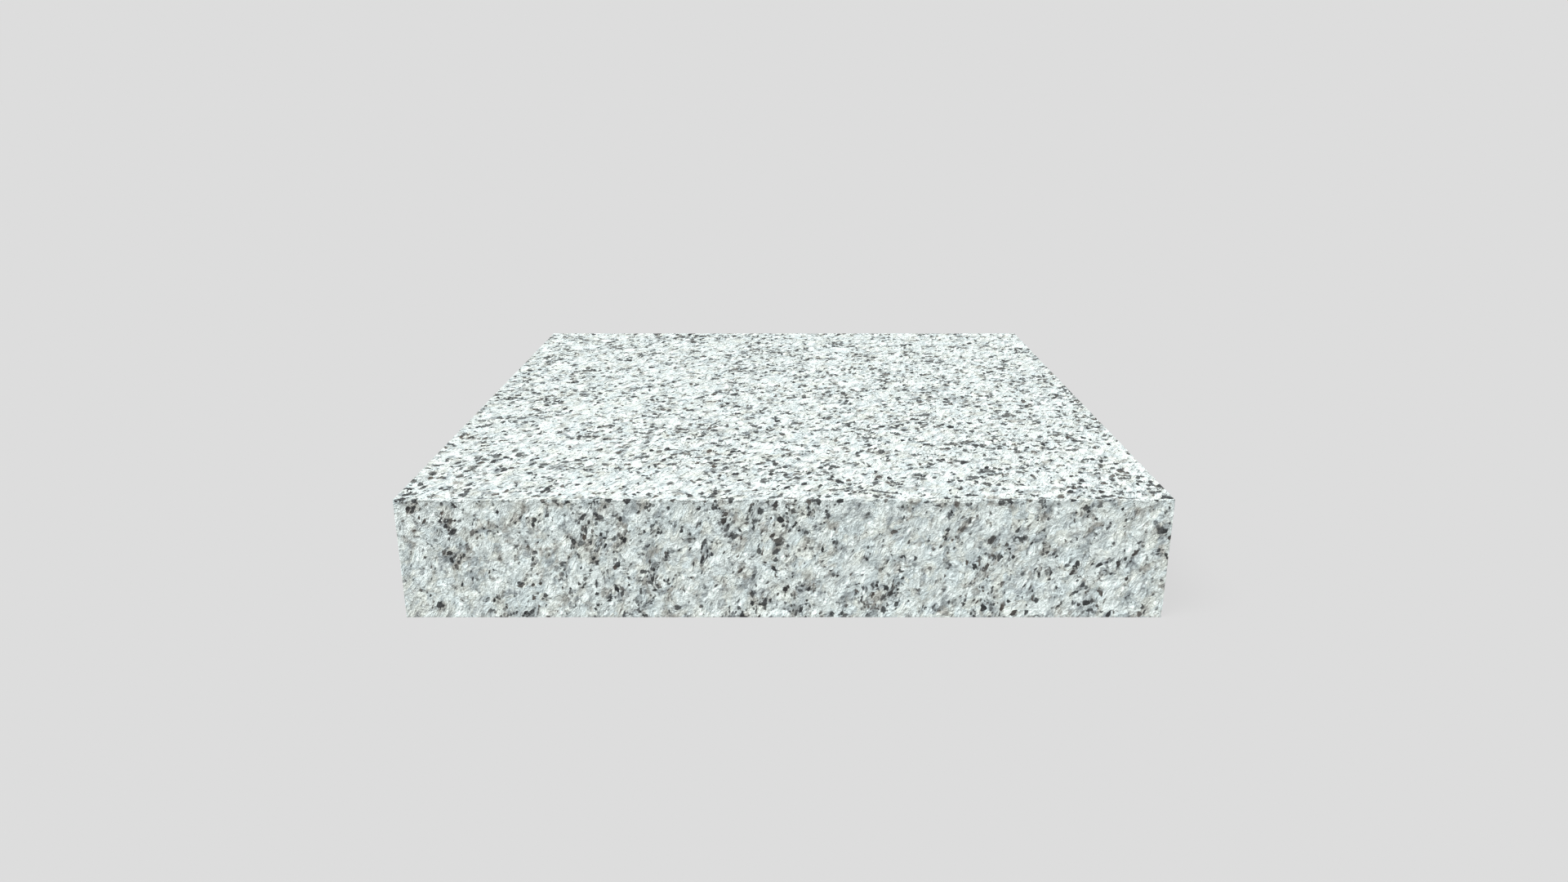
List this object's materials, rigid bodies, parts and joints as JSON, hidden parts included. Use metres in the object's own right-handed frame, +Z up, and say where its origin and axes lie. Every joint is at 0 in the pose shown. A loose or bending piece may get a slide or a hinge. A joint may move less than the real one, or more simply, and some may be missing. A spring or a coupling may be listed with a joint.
{
  "type": "granite slab",
  "caption": "Thick square slab of pale speckled granite with rough matte faces and crisp edges, a heavy flat base for stamping, carving and punching leather.",
  "frame": {"origin": "middle of the bench face, the flat underside that the slab rests on", "axes": "+Z up through the thickness to the working face; +X along the front edge, to the right; the front face looks along -Y"},
  "size_m": [0.3048, 0.3048, 0.0508],
  "materials": {
    "granite": "matte"
  },
  "bodies": {
    "root": {"granite_slab": "granite"}
  },
  "joints": []
}
